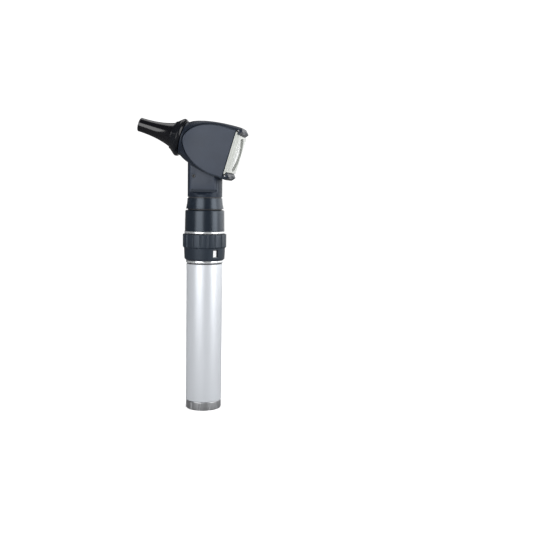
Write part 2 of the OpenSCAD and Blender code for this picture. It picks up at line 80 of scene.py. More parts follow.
HEAD = optical_frame()
TURNED = HEAD @ Matrix.Rotation(math.radians(90), 4, "Y")


def extent(node, place=Matrix()):
    """The lowest and highest corner of a CAD node, seen from a frame of its own."""
    inside = place.inverted()
    points = [inside @ vert.co for vert in NODES[node].data.vertices]
    low = Vector(min(p[i] for p in points) for i in range(3))
    high = Vector(max(p[i] for p in points) for i in range(3))
    return low, high


# ---------------------------------------------------------------- camera, floor and light

VIEW_TURN = math.radians(11.93)
VIEW_DISTANCE = 0.543
EYE_HEIGHT = 0.152
OFF_CENTRE = math.radians(4.654)
LOOK_DOWN = math.radians(5.282)
LEAN = math.radians(0.862)
LENS_MM = 51.7
AIM_HEIGHT = 0.13
FLOOR_TONE = 0.93
SURROUND = 1.1   # brightness of the white that the camera sees
MIRRORED_WALLS = 0.15
MIRRORED_CEILING = 0.05
MIRRORED_FLOOR = 0.10
WALL_TOP, CEILING_FROM = 0.12, 0.45   # upward share of a direction, where one fades to the other

# name, turn and rise in degrees, distance, width and height in metres, power in watts
SOFTBOXES = (
    ("left_box", -32, 9, 0.95, 0.76, 0.84, 7.8),
    ("right_box", 62, 12, 0.95, 0.6, 0.8, 6.6),
    ("right_fill", 108, 15, 0.95, 0.8, 0.7, 3.4),
    ("rear_fill", 152, 8, 0.95, 0.6, 0.8, 1.8),
    ("top_box", 180, 65, 1.0, 0.8, 0.6, 2.5),
)


def place_camera():
    """The camera stands beside the object, a little to its rear, level with the neck."""
    data = bpy.data.cameras.new("camera")
    data.lens = LENS_MM
    camera = bpy.data.objects.new("camera", data)
    SCENE.collection.objects.link(camera)
    spot = Vector((math.sin(VIEW_TURN), -math.cos(VIEW_TURN), 0)) * VIEW_DISTANCE
    turn = Matrix.Rotation(VIEW_TURN - OFF_CENTRE, 4, "Z")
    pitch = Matrix.Rotation(math.radians(90) - LOOK_DOWN, 4, "X")
    roll = Matrix.Rotation(LEAN, 4, "Z")
    stand = Matrix.Translation(spot + Vector((0, 0, EYE_HEIGHT)))
    camera.matrix_world = stand @ turn @ pitch @ roll
    SCENE.camera = camera


def lay_floor():
    """A wide pale disc under the object, darker where it is mirrored."""
    data = bpy.data.meshes.new("floor")
    build = bmesh.new()
    bmesh.ops.create_circle(build, cap_ends=True, radius=12, segments=96)
    build.to_mesh(data)
    build.free()
    floor = bpy.data.objects.new("floor", data)
    SCENE.collection.objects.link(floor)
    paint = bpy.data.materials.new("floor_white")
    paint.use_nodes = True
    nodes, links = paint.node_tree.nodes, paint.node_tree.links
    shader = nodes["Principled BSDF"]
    rays = nodes.new("ShaderNodeLightPath")
    tone = nodes.new("ShaderNodeMapRange")
    tone.inputs["To Min"].default_value = FLOOR_TONE
    tone.inputs["To Max"].default_value = MIRRORED_FLOOR
    links.new(rays.outputs["Is Glossy Ray"], tone.inputs["Value"])
    links.new(tone.outputs["Result"], shader.inputs["Base Color"])
    shader.inputs["Roughness"].default_value = 0.9
    shader.inputs["Specular IOR Level"].default_value = 0.0
    data.materials.append(paint)


def softbox(name, turn, rise, distance, width, height, power):
    """An area light at a turn from the camera's side, aimed at the middle of the object."""
    aim = Vector((0, 0, AIM_HEIGHT))
    angle = VIEW_TURN + math.radians(turn)
    lift = math.radians(rise)
    away = Vector((math.sin(angle) * math.cos(lift), -math.cos(angle) * math.cos(lift),
                   math.sin(lift)))
    data = bpy.data.lights.new(name, "AREA")
    data.shape = "RECTANGLE"
    data.size = width
    data.size_y = height
    data.energy = power
    light = bpy.data.objects.new(name, data)
    SCENE.collection.objects.link(light)
    light.location = aim + away * distance
    light.rotation_euler = away.to_track_quat("Z", "Y").to_euler()


def light_studio():
    """A white surround and soft boxes; mirrored, it has grey walls and a dark ceiling."""
    world = bpy.data.worlds.new("studio")
    world.use_nodes = True
    nodes, links = world.node_tree.nodes, world.node_tree.links
    white = nodes["Background"]
    white.inputs["Color"].default_value = (1, 1, 1, 1)
    white.inputs["Strength"].default_value = SURROUND
    direction = nodes.new("ShaderNodeTexCoord")
    part = nodes.new("ShaderNodeSeparateXYZ")
    links.new(direction.outputs["Generated"], part.inputs["Vector"])
    height = nodes.new("ShaderNodeMapRange")
    height.interpolation_type = "SMOOTHSTEP"
    height.inputs["From Min"].default_value = WALL_TOP
    height.inputs["From Max"].default_value = CEILING_FROM
    height.inputs["To Min"].default_value = MIRRORED_WALLS
    height.inputs["To Max"].default_value = MIRRORED_CEILING
    links.new(part.outputs["Z"], height.inputs["Value"])
    dim = nodes.new("ShaderNodeBackground")
    dim.inputs["Color"].default_value = (0.90, 0.95, 1, 1)
    links.new(height.outputs["Result"], dim.inputs["Strength"])
    rays = nodes.new("ShaderNodeLightPath")
    mix = nodes.new("ShaderNodeMixShader")
    links.new(rays.outputs["Is Glossy Ray"], mix.inputs["Fac"])
    links.new(white.outputs["Background"], mix.inputs[1])
    links.new(dim.outputs["Background"], mix.inputs[2])
    links.new(mix.outputs["Shader"], nodes["World Output"].inputs["Surface"])
    SCENE.world = world
    SCENE.view_settings.view_transform = "Standard"
    for values in SOFTBOXES:
        softbox(*values)


place_camera()
lay_floor()
light_studio()


# ---------------------------------------------------------------- finishes

def finish(slot, colour, rough=0.4, metallic=0.0, spread=0.05, mottle=0.05, grain=0.15,
           relief=0.004, stretch=(1, 1, 1), wear=0.0, **sockets):
    """A surface with tone, gloss and relief that vary, and edges rubbed lighter.

    grain is the size of the surface's texture and relief its depth, both in millimetres.
    """
    paint = bpy.data.materials.new(slot)
    paint.use_nodes = True
    nodes, links = paint.node_tree.nodes, paint.node_tree.links
    shader = nodes["Principled BSDF"]
    shader.inputs["Metallic"].default_value = metallic
    for name, value in sockets.items():
        shader.inputs[name.replace("_", " ")].default_value = value

    coords = nodes.new("ShaderNodeTexCoord")
    mapping = nodes.new("ShaderNodeMapping")
    mapping.inputs["Scale"].default_value = stretch
    links.new(coords.outputs["Object"], mapping.inputs["Vector"])

    def noise(size_mm, detail):
        texture = nodes.new("ShaderNodeTexNoise")
        texture.inputs["Scale"].default_value = 1 / (size_mm * MM)
        texture.inputs["Detail"].default_value = detail
        links.new(mapping.outputs["Vector"], texture.inputs["Vector"])
        return texture.outputs["Fac"]

    def spread_to(value, low, high):
        scale = nodes.new("ShaderNodeMapRange")
        scale.inputs["From Min"].default_value = 0.3
        scale.inputs["From Max"].default_value = 0.7
        scale.inputs["To Min"].default_value = low
        scale.inputs["To Max"].default_value = high
        links.new(value, scale.inputs["Value"])
        return scale.outputs["Result"]

    fine = noise(grain, 3)
    broad = noise(9, 2)
    tone = nodes.new("ShaderNodeMix")
    tone.data_type = "RGBA"
    tone.inputs["A"].default_value = tuple(c * (1 - mottle) for c in colour) + (1,)
    tone.inputs["B"].default_value = tuple(min(1, c * (1 + mottle)) for c in colour) + (1,)
    links.new(spread_to(broad, 0, 1), tone.inputs["Factor"])
    colour_out = tone.outputs["Result"]
    if wear:
        geometry = nodes.new("ShaderNodeNewGeometry")
        edge = nodes.new("ShaderNodeMapRange")
        edge.inputs["From Min"].default_value = 0.53
        edge.inputs["From Max"].default_value = 0.62
        edge.inputs["To Max"].default_value = wear
        links.new(geometry.outputs["Pointiness"], edge.inputs["Value"])
        rubbed = nodes.new("ShaderNodeMix")
        rubbed.data_type = "RGBA"
        rubbed.inputs["B"].default_value = tuple(min(1, c * 2 + 0.05) for c in colour) + (1,)
        links.new(colour_out, rubbed.inputs["A"])
        links.new(edge.outputs["Result"], rubbed.inputs["Factor"])
        colour_out = rubbed.outputs["Result"]
    links.new(colour_out, shader.inputs["Base Color"])
    links.new(spread_to(fine, rough - spread, rough + spread), shader.inputs["Roughness"])
    bump = nodes.new("ShaderNodeBump")
    bump.inputs["Distance"].default_value = relief * MM
    bump.inputs["Strength"].default_value = 1.0
    links.new(fine, bump.inputs["Height"])
    links.new(bump.outputs["Normal"], shader.inputs["Normal"])
    return paint


TALL = (1, 1, 0.12)   # texture drawn out along the handle
BLUED = (0.78, 0.88, 1, 1)   # tint of the black parts' reflections
FINISHES = {
    "satin_aluminium": finish("satin_aluminium", (0.49, 0.51, 0.54), 0.38, 0.5, 0.04, 0.02,
                              grain=0.12, relief=0.003, stretch=TALL),
    "cap_aluminium": finish("cap_aluminium", (0.66, 0.67, 0.69), 0.36, 1.0, 0.05, 0.03,
                            grain=0.12, relief=0.003),
    "chrome_trim": finish("chrome_trim", (0.80, 0.82, 0.84), 0.24, 0.85, 0.03, 0.01,
                          grain=0.1, relief=0.001, stretch=(0.2, 0.2, 3)),
    "collar_black": finish("collar_black", (0.009, 0.013, 0.020), 0.40, 0.0, 0.05, 0.08,
                           grain=0.2, relief=0.006, wear=0.3, Specular_Tint=BLUED),
    "black_anodised": finish("black_anodised", (0.005, 0.008, 0.013), 0.28, 0.0, 0.04, 0.06,
                             grain=0.12, relief=0.003, wear=0.25, Specular_Tint=BLUED,
                             Specular_IOR_Level=0.58),
    "head_black": finish("head_black", (0.008, 0.011, 0.018), 0.38, 0.0, 0.05, 0.06,
                         grain=0.18, relief=0.005, wear=0.3, Specular_Tint=BLUED,
                         Specular_IOR_Level=0.25),
    "cheek_black": finish("cheek_black", (0.018, 0.025, 0.040), 0.46, 0.0, 0.05, 0.06,
                          grain=0.16, relief=0.012, wear=0.2, Specular_IOR_Level=0.3),
    "speculum_black": finish("speculum_black", (0.003, 0.003, 0.004), 0.12, 0.0, 0.02, 0.1,
                             grain=2.5, relief=0.0005),
    "ring_black": finish("ring_black", (0.004, 0.0045, 0.006), 0.18, 0.0, 0.04, 0.1,
                         grain=0.6, relief=0.002, wear=0.15, Specular_IOR_Level=0.3),
    "lens_clear": finish("lens_clear", (0.82, 0.85, 0.82), 0.10, 0.0, 0.03, 0.02,
                         grain=2, relief=0.0005, Transmission_Weight=0.75, IOR=1.49),
    "lens_block_clear": finish("lens_block_clear", (0.41, 0.425, 0.40), 0.34, 0.0, 0.08, 0.08,
                               grain=1.2, relief=0.03, Transmission_Weight=0.3, IOR=1.49),
    "tile_white": finish("tile_white", (0.62, 0.63, 0.64), 0.25, 0.0, 0.04, 0.02),
    "insulator_cream": finish("insulator_cream", (0.72, 0.67, 0.55), 0.45),
    "contact_brass": finish("contact_brass", (0.78, 0.60, 0.28), 0.22, 1.0, wear=0.2),
    "spring_steel": finish("spring_steel", (0.60, 0.61, 0.63), 0.25, 1.0),
    "seal_rubber": finish("seal_rubber", (0.018, 0.018, 0.018), 0.6, grain=0.1, relief=0.01),
    "cell_wrap": finish("cell_wrap", (0.06, 0.19, 0.42), 0.28),
    "housing_black": finish("housing_black", (0.022, 0.022, 0.025), 0.45, grain=0.2),
    "bulb_glass": finish("bulb_glass", (0.95, 0.96, 0.97), 0.04, spread=0.02,
                         Transmission_Weight=1.0, IOR=1.47),
    "fibre_ends": finish("fibre_ends", (0.80, 0.72, 0.50), 0.3, grain=0.05, relief=0.01),
    "track_carbon": finish("track_carbon", (0.06, 0.045, 0.035), 0.6),
    "cone_black": finish("cone_black", (0.018, 0.018, 0.02), 0.32, 0.5, wear=0.3),
}


def slot_of(node):
    """The material slot that the record gives a CAD node."""
    for part in frame["record"]["subparts"]:
        if part["node"] == node:
            return part["material_slot"]
    return None


def body_of(node):
    """The CAD body that a node belongs to."""
    for body, members in frame["record"]["behaviour"]["bodies"].items():
        if node in members:
            return body
    return None


def soften(mesh, angle=32):
    """Smooth shading, with the edges sharper than the angle left crisp."""
    mesh.shade_smooth()
    mesh.set_sharp_from_angle(angle=math.radians(angle))


def dress_frame():
    """Every CAD node takes its own finish, whether a finer piece replaces it or not."""
    for name, node in NODES.items():
        node.data.materials.clear()
        node.data.materials.append(FINISHES[slot_of(name)])
        soften(node.data)


dress_frame()


# ---------------------------------------------------------------- making pieces

def stand_in(piece, node):
    """The piece rides, replaces and is finished as the CAD node that it stands for."""
    soften(piece.data)
    piece.data.materials.clear()
    piece.data.materials.append(FINISHES[slot_of(node)])
    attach(piece, body_of(node))
    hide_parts(node)
    return piece


def solid(name, points, faces, place=Matrix()):
    """A closed mesh object, with doubled points joined and its faces turned outwards."""
    data = bpy.data.meshes.new(name)
    data.from_pydata([place @ Vector(p) for p in points], [], faces)
    build = bmesh.new()
    build.from_mesh(data)
    bmesh.ops.remove_doubles(build, verts=build.verts, dist=1e-7)
    bmesh.ops.recalc_face_normals(build, faces=build.faces)
    build.to_mesh(data)
    build.free()
    piece = bpy.data.objects.new(name, data)
    SCENE.collection.objects.link(piece)
    return piece


def rounded(outline, radius, steps=5):
    """A closed outline with an arc at each corner, smaller where the edges are short.

    A corner may carry its own radius as a third number.
    """
    result = []
    count = len(outline)
    for i, corner in enumerate(outline):
        here = Vector(corner[:2])
        before = Vector(outline[i - 1][:2]) - here
        after = Vector(outline[(i + 1) % count][:2]) - here
        wanted = corner[2] if len(corner) > 2 else radius
        angle = before.angle(after) if before.length and after.length else math.pi
        if wanted <= 0 or here.x <= 0 or angle > math.radians(176):
            result.append(tuple(here))
            continue
        reach = min(wanted / math.tan(angle / 2), 0.48 * before.length, 0.48 * after.length)
        start, end = here + before.normalized() * reach, here + after.normalized() * reach
        for k in range(steps + 1):
            t = k / steps
            result.append(tuple(start * (1 - t) ** 2 + here * 2 * t * (1 - t) + end * t ** 2))
    return result


def lathe(name, outline, place=Matrix(), sides=144, shape=None):
    """A closed outline of (radius, height) turned about Z.

    shape(angle, radius, height) may give another radius, for grips and notches.
    """
    points, faces = [], []
    count = len(outline)
    for i in range(sides):
        angle = 2 * math.pi * i / sides
        for r, z in outline:
            reach = shape(angle, r, z) if shape else r
            points.append((reach * math.cos(angle), reach * math.sin(angle), z))
    for i in range(sides):
        a, b = i * count, (i + 1) % sides * count
        for k in range(count):
            m = (k + 1) % count
            faces.append((a + k, b + k, b + m, a + m))
    return solid(name, points, faces, place)


def loft(name, rings, place=Matrix()):
    """A closed solid through a row of rings that all have the same number of points."""
    count = len(rings[0])
    points = [point for ring in rings for point in ring]
    faces = [tuple(range(count)), tuple(range(len(points) - count, len(points)))]
    for i in range(len(rings) - 1):
        for k in range(count):
            m = (k + 1) % count
            a, b = i * count, (i + 1) * count
            faces.append((a + k, a + m, b + m, b + k))
    return solid(name, points, faces, place)


def block(name, outline, low, high, place=Matrix()):
    """An outline of (X, Z) points swept along Y between two places."""
    return loft(name, [[(x, y, z) for x, z in outline] for y in (low, high)], place)


def rod(name, radius, low, high, place=Matrix(), sides=96):
    """A plain round bar about Z, for cutting bores."""
    return lathe(name, [(0, low), (radius, low), (radius, high), (0, high)], place, sides)


def blended(limits, power):
    """The nearest of the limits, rounded off where two are about as near."""
    nearest = min(limits)
    return nearest * sum((nearest / limit) ** power for limit in limits) ** (-1 / power)


def combine(piece, operation, *others):
    """The other solids joined to the piece, or taken out of it."""
    for other in others:
        step = piece.modifiers.new("step", "BOOLEAN")
        step.operation = operation
        step.solver = "EXACT"
        step.object = other
    bpy.context.view_layer.update()
    seen = piece.evaluated_get(bpy.context.evaluated_depsgraph_get())
    whole = bpy.data.meshes.new_from_object(seen)
    piece.modifiers.clear()
    piece.data = whole
    for other in others:
        bpy.data.objects.remove(other)
    return piece


# ---------------------------------------------------------------- handle

def round_size(node, place=Matrix()):
    """(outer radius, lowest, highest) of a node that is turned about a frame's Z axis."""
    low, high = extent(node, place)
    return high.y, low.z, high.z


def handle_tube():
    """The satin tube, with its edges eased."""
    wall, edge = 1.2 * MM, 0.35 * MM
    r, low, high = round_size("handle_tube")
    outline = rounded([(r - wall, low), (r, low), (r, high), (r - wall, high)], edge)
    stand_in(lathe("satin_tube", outline, sides=192), "handle_tube")


def scallop(count, phase, centre, radius):
    """How far out a surface reaches at an angle, where round grooves are cut along it."""
    step = 2 * math.pi / count

    def reach(angle):
        off = (angle - phase + step / 2) % step - step / 2
        side = centre * math.sin(off)
        if abs(side) >= radius:
            return math.inf
        return centre * math.cos(off) - math.sqrt(radius ** 2 - side ** 2)

    return reach


def base_cap():
    """The cap's knurled rim, its spigot with three thread ridges, and the contact's well."""
    r, low, high = round_size("base_cap")
    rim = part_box("handle_tube")[0].z - 0.2 * MM
    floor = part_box("battery_seat")[0].z - 0.1 * MM
    spigot, well, hole = 10.9 * MM, 9.8 * MM, 4.2 * MM
    pitch, ridge = 1.5 * MM, 0.4 * MM
    grip_top = rim - 0.8 * MM
    outline = [(hole, low), (r, low, 0.8 * MM), (r, grip_top, 0), (r, grip_top + 0.05 * MM, 0),
               (r, rim, 0.35 * MM), (spigot, rim, 0.1 * MM), (spigot, rim + 2.3 * MM, 0)]
    for i in range(3):
        z = rim + 3 * MM + i * pitch
        outline += [(spigot, z - ridge, 0.1 * MM), (spigot + ridge, z, 0.12 * MM),
                    (spigot, z + ridge, 0.1 * MM)]
    outline += [(spigot, high, 0.3 * MM), (well, high, 0.2 * MM), (well, floor, 0.3 * MM),
                (hole, floor, 0.2 * MM)]
    groove = scallop(12, 0, r + 0.5 * MM, 1.1 * MM)

    def shape(angle, radius, z):
        return min(radius, groove(angle)) if radius > spigot + 1 * MM and z <= grip_top else radius

    piece = lathe("knurled_base_cap", rounded(outline, 0), sides=360, shape=shape)
    stand_in(piece, "base_cap")


def window_cutter(tile_low, tile_high):
    """A rounded block that opens the collar in front of the white tile."""
    width, height, depth = 4.3 * MM, 5.5 * MM, 4 * MM
    middle = (tile_low + tile_high) / 2
    angle = math.atan2(middle.y, middle.x)
    reach = math.hypot(middle.x, middle.y)
    low, right = tile_low.z + 0.16 * MM, 0.25 * MM
    aside = width   # rounded() leaves corners at or below zero sharp, so the outline is drawn aside
    outline = rounded([(aside - width / 2, 0), (aside + width / 2, 0),
                       (aside + width / 2, height), (aside - width / 2, height)], 0.45 * MM)
    rings = [[(x, y - aside + right, z + low) for y, z in outline]
             for x in (reach - 1 * MM, reach + depth)]
    return loft("window", rings, Matrix.Rotation(angle, 4, "Z"))


def control_collar():
    """The dimmer collar: a fluted grip above a smooth tapered band with a window."""
    r, low, high = round_size("control_collar")
    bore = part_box("switch_housing")[1].y + 0.05 * MM
    low_r, mid_r = r - 1.2 * MM, r - 0.85 * MM
    grip = high - 9.4 * MM
    outline = rounded([(bore, low, 0.1 * MM), (low_r - 1.1 * MM, low, 0.3 * MM),
                       (low_r, low + 1.1 * MM, 0.5 * MM), (mid_r, grip - 0.4 * MM, 0.15 * MM),
                       (r, grip + 0.4 * MM, 0.3 * MM), (r, high, 0.7 * MM),
                       (bore, high, 0.2 * MM)], 0)
    flute = scallop(18, math.radians(10), r + 0.35 * MM, 0.9 * MM)

    def shape(angle, radius, z):
        return min(radius, flute(angle)) if radius > mid_r + 0.2 * MM and z > grip else radius

    piece = lathe("ribbed_dimmer_collar", outline, sides=432, shape=shape)
    combine(piece, "DIFFERENCE", window_cutter(*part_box("indicator_tile")))
    stand_in(piece, "control_collar")


def trim_rings():
    """The two bright rings, above and below the collar."""
    for node, bore, name in (("lower_trim_ring", 12.35, "bright_ring_lower"),
                             ("upper_trim_ring", 10.95, "bright_ring_upper")):
        r, low, high = round_size(node)
        outline = rounded([(bore * MM, low), (r, low), (r, high), (bore * MM, high)], 0.4 * MM)
        stand_in(lathe(name, outline, sides=192), node)


def coupling_sleeve():
    """The sleeve above the upper bright ring.

    Its bore is plain: the bayonet slots of the CAD node are not cut here.
    """
    r, low, high = round_size("coupling_sleeve")
    bore, shoulder = 11.0 * MM, 1.1 * MM
    outline = rounded([(bore, low), (r, low), (r, low + 1 * MM, 1 * MM),
                       (r - 0.2 * MM, high, shoulder), (bore, high)], 0.2 * MM, steps=8)
    stand_in(lathe("coupling_sleeve_turned", outline, sides=192), "coupling_sleeve")


def adapter_ring():
    """The waisted ring between the coupling and the neck."""
    r, low, high = round_size("adapter_ring")
    bore, flare, edge, steps = 10.25 * MM, 1 * MM, 0.25 * MM, 14
    side = [(r - flare + flare * (1 - i / steps) ** 2, low + (high - low) * i / steps, 0)
            for i in range(1, steps)]
    outline = [(bore, low), (r, low, edge)] + side + [(r - flare, high, edge), (bore, high)]
    stand_in(lathe("waisted_adapter_ring", rounded(outline, edge), sides=192), "adapter_ring")


# ---------------------------------------------------------------- speculum and its ring

def key_blocks(name, inner, outer, width, low, high):
    """Two blocks across the optical axis, on the near and the far side."""
    blocks = []
    for side in (1, -1):
        ring = [(side * r, w) for r, w in ((inner, -width / 2), (outer, -width / 2),
                                           (outer, width / 2), (inner, width / 2))]
        blocks.append(loft(name, [[(w, r, z) for r, w in ring] for z in (low, high)], TURNED))
    return blocks


def speculum():
    """A flared hollow cone with a rolled lip and two lugs on its foot."""
    _, tip, end = round_size("speculum", TURNED)
    front = extent("speculum_ring", TURNED)[0].z
    foot = front - 0.3 * MM
    foot_r, tip_r, wall, steps = 8.8 * MM, 4.85 * MM, 0.75 * MM, 28

    def bell(t):
        return tip_r + (foot_r - tip_r) * (0.1 * t + 0.9 * t ** 2.5)

    outer = [(bell(i / steps), tip + (foot - tip) * i / steps, 0) for i in range(1, steps)]
    inner = [(r - wall, z, 0) for r, z, _ in reversed(outer)]
    outline = ([(tip_r - wall, tip, 0.3 * MM), (tip_r, tip, 0.3 * MM)] + outer
               + [(foot_r, foot, 0.3 * MM), (foot_r, end, 0.2 * MM),
                  (foot_r - 1 * MM, end, 0.2 * MM), (foot_r - 1 * MM, foot, 0.2 * MM)] + inner)
    piece = lathe("ear_speculum", rounded(outline, 0), TURNED, sides=144)
    lugs = key_blocks("lug", 8.3 * MM, 9.35 * MM, 1.9 * MM, front + 0.2 * MM, front + 1.6 * MM)
    combine(piece, "UNION", *lugs)
    stand_in(piece, "speculum")


def speculum_ring():
    """The knob that holds the speculum: a sharp rim on a cone that falls away to the front."""
    r, front, back = round_size("speculum_ring", TURNED)
    bore, front_r, mouth, relief = 8.65 * MM, 9.9 * MM, 9.05 * MM, 9.5 * MM
    relief_back = back - 3.8 * MM
    outline = rounded([(bore, back, 0.1 * MM), (r - 1 * MM, back, 0.4 * MM),
                       (r - 0.2 * MM, back - 1.2 * MM, 0.6 * MM), (r, back - 2.2 * MM, 0.6 * MM),
                       (r - 0.3 * MM, back - 3 * MM, 0.4 * MM),
                       (front_r + 0.15 * MM, front + 0.7 * MM, 0.5 * MM),
                       (front_r, front, 0.3 * MM), (mouth, front, 0.15 * MM),
                       (mouth, front + 1.9 * MM, 0), (relief, front + 1.9 * MM, 0),
                       (relief, relief_back, 0), (bore, relief_back, 0)], 0)
    piece = lathe("speculum_knob", outline, TURNED, sides=192)
    slots = key_blocks("slot", 8 * MM, 9.6 * MM, 2.4 * MM, front - 1 * MM, front + 1.9 * MM)
    combine(piece, "DIFFERENCE", *slots)
    stand_in(piece, "speculum_ring")


# ---------------------------------------------------------------- head

SHELL_LOW, SHELL_HIGH = extent("head_shell", HEAD)
LIP = SHELL_HIGH.x
CROWN = LIP - 1.9 * MM
NOSE = extent("speculum_ring", HEAD)[1].x + 0.3 * MM
HALF_HIGH, HALF_WIDE = SHELL_HIGH.z, SHELL_HIGH.y
LIP_HALF = 16.1 * MM
NOSE_R = 12 * MM
WIDEST = 4 * MM
CHEEK_LOW, CHEEK_HIGH = extent("left_cheek", HEAD)
PANEL_GAP = 0.7 * MM


def half_height(u):
    """Half the head's height at a distance along the optical axis, in side view."""
    if u > CROWN:
        return HALF_HIGH + (LIP_HALF - HALF_HIGH) * (u - CROWN) / (LIP - CROWN)
    t = (CROWN - u) / (CROWN - NOSE)
    return NOSE_R + (HALF_HIGH - NOSE_R) * max(0, 1 - t * t) ** 0.95


def half_width(u):
    """Half the head's width at a distance along the optical axis, in plan."""
    t = max(0, WIDEST - u) / (WIDEST - NOSE)
    return NOSE_R + (HALF_WIDE - NOSE_R) * (1 - t * t)


def cheek_edge(u, side, grow=0.0):
    """Height of the cheek panel's edge, above (side 1) or below (side -1) the axis."""
    centre, full, power = ((12 * MM, CHEEK_HIGH.z, 0.55) if side > 0
                           else (15 * MM, -CHEEK_LOW.z, 0.62))
    t = min(1, max(0, centre - u) / (centre - CHEEK_LOW.x + grow))
    return (full + grow) * (1 - t * t) ** power


def head_ring(u, inset=0.0, sides=192):
    """The head's section: flat sides, a flat crown and round corners, blended together."""
    blend, ring = 44, []
    for k in range(sides):
        angle = 2 * math.pi * (k + 0.5) / sides
        across, up = math.cos(angle), math.sin(angle)
        side = 1 if up > 0 else -1
        limits = (half_width(u) / abs(across), half_height(u) / abs(up),
                  math.hypot(half_width(u), cheek_edge(u, side, PANEL_GAP)))
        reach = blended(limits, blend)
        ring.append((u, (reach - inset) * across, (reach - inset) * up))
    return ring


def circle_ring(u, radius, sides=192):
    """A circle across the optical axis, with its points where head_ring has them."""
    return [(u, radius * math.cos(2 * math.pi * (k + 0.5) / sides),
             radius * math.sin(2 * math.pi * (k + 0.5) / sides)) for k in range(sides)]


def head_body():
    """The head from the ring's spigot, over the nose and crown, to the rear lips."""
    spigot, clip, edge = 8.6 * MM, 8.1 * MM, 0.35 * MM
    end = SHELL_LOW.x
    rings = [circle_ring(end, spigot - edge), circle_ring(end + edge, spigot),
             circle_ring(end + 0.5 * MM, spigot), circle_ring(end + 0.5 * MM, clip),
             circle_ring(end + 1.2 * MM, clip), circle_ring(end + 1.2 * MM, spigot),
             circle_ring(NOSE, spigot), head_ring(NOSE, 2 * edge),
             head_ring(NOSE + 0.3 * edge, edge * 0.7), head_ring(NOSE + edge)]
    steps = 56
    for i in range(1, steps):
        rings.append(head_ring(NOSE + edge + (CROWN - NOSE - edge) * i / steps))
    rings += [head_ring(CROWN), head_ring((CROWN + LIP) / 2), head_ring(LIP - edge),
              head_ring(LIP - 0.3 * edge, 0.3 * edge), head_ring(LIP, edge)]
    return loft("head_black_body", rings, HEAD)


NECK = round_size("adapter_ring")[2] + 0.7 * MM
NECK_R = 12.2 * MM
FLAT = -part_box("left_neck_plate")[0].y


def neck_ring(z, flat, radius=NECK_R, sides=144):
    """The neck's section at a height: round, with two flats where flat is under the radius."""
    blend, ring = 60, []
    for k in range(sides):
        angle = 2 * math.pi * (k + 0.5) / sides
        limits = (radius, flat / abs(math.sin(angle)))
        reach = min(blended(limits, blend), radius)
        ring.append((reach * math.cos(angle), reach * math.sin(angle), z))
    return ring


def neck_body():
    """The round neck with a scoop and a notch under each plate, and flats behind them."""
    edge = 0.25 * MM
    free, notch, bed = 2 * NECK_R, FLAT - 1.4 * MM, FLAT - 1 * MM
    levels = [(0, free, NECK_R - edge), (edge, free, NECK_R), (1.4 * MM, free, NECK_R),
              (1.6 * MM, NECK_R + 0.6 * MM, NECK_R), (2.5 * MM, FLAT + 2.5 * MM, NECK_R),
              (3.2 * MM, FLAT + 1 * MM, NECK_R), (3.6 * MM, FLAT, NECK_R),
              (3.6 * MM, notch, NECK_R), (5.15 * MM, notch, NECK_R),
              (5.15 * MM, bed, NECK_R), (29 * MM, bed, NECK_R)]
    return loft("neck", [neck_ring(NECK + z, flat, r) for z, flat, r in levels])


def cheek_outline(grow, depth):
    """The cheek panel's outline as (distance, height) points, shrunk by a margin of depth."""
    start, end = CHEEK_LOW.x - grow, CHEEK_HIGH.x + (1 * MM if grow else 0)
    spans = 40
    along = [start + (end - start) * (1 - math.cos(math.pi / 2 * i / spans))
             for i in range(spans + 1)]
    top = [Vector((u, cheek_edge(u, 1, grow))) for u in along]
    low = [Vector((u, -cheek_edge(u, -1, grow))) for u in along]
    if not depth:
        return top, low
    result = []
    for line, side in ((top, 1), (low, -1)):
        moved = []
        for i, point in enumerate(line):
            ahead, behind = line[min(i + 1, spans)], line[max(i - 1, 0)]
            slope = (ahead - behind).normalized() if i else Vector((0, side))
            inward = Vector((slope.y, -slope.x)) * side
            moved.append(point + inward * depth)
        moved[-1].x -= depth
        result.append(moved)
    return result


def cheek_solid(name, side, layers, grow=0.0):
    """A panel that follows the head's side: layers are (margin, depth under the surface)."""
    points, faces, rims = [], [], []
    for depth, under in layers:
        top, low = cheek_outline(grow, depth)
        rims.append(len(points))
        points += [(u, side * (half_width(u) - under), v) for u, v in top]
        points += [(u, side * (half_width(u) - under), v) for u, v in low]
    count = len(top)
    loop = list(range(count)) + [2 * count - 1 - i for i in range(count)]
    for a, b in zip(rims, rims[1:]):
        for i, k in enumerate(loop):
            m = loop[(i + 1) % len(loop)]
            faces.append((a + k, a + m, b + m, b + k))
    for rim in (rims[0], rims[-1]):
        for i in range(count - 1):
            faces.append((rim + i, rim + i + 1, rim + count + i + 1, rim + count + i))
    return solid(name, points, faces, HEAD)


def cheeks():
    """The two recessed side panels, with rounded edges."""
    edge = 0.4 * MM
    arc = [math.radians(15 * i) for i in range(7)]
    rim = [(edge * (1 - math.cos(a)), 0.05 * MM + edge * (1 - math.sin(a))) for a in arc]
    for node, side, name in (("left_cheek", -1, "near_cheek_panel"),
                             ("right_cheek", 1, "far_cheek_panel")):
        stand_in(cheek_solid(name, side, [(0, 1.45 * MM)] + rim), node)


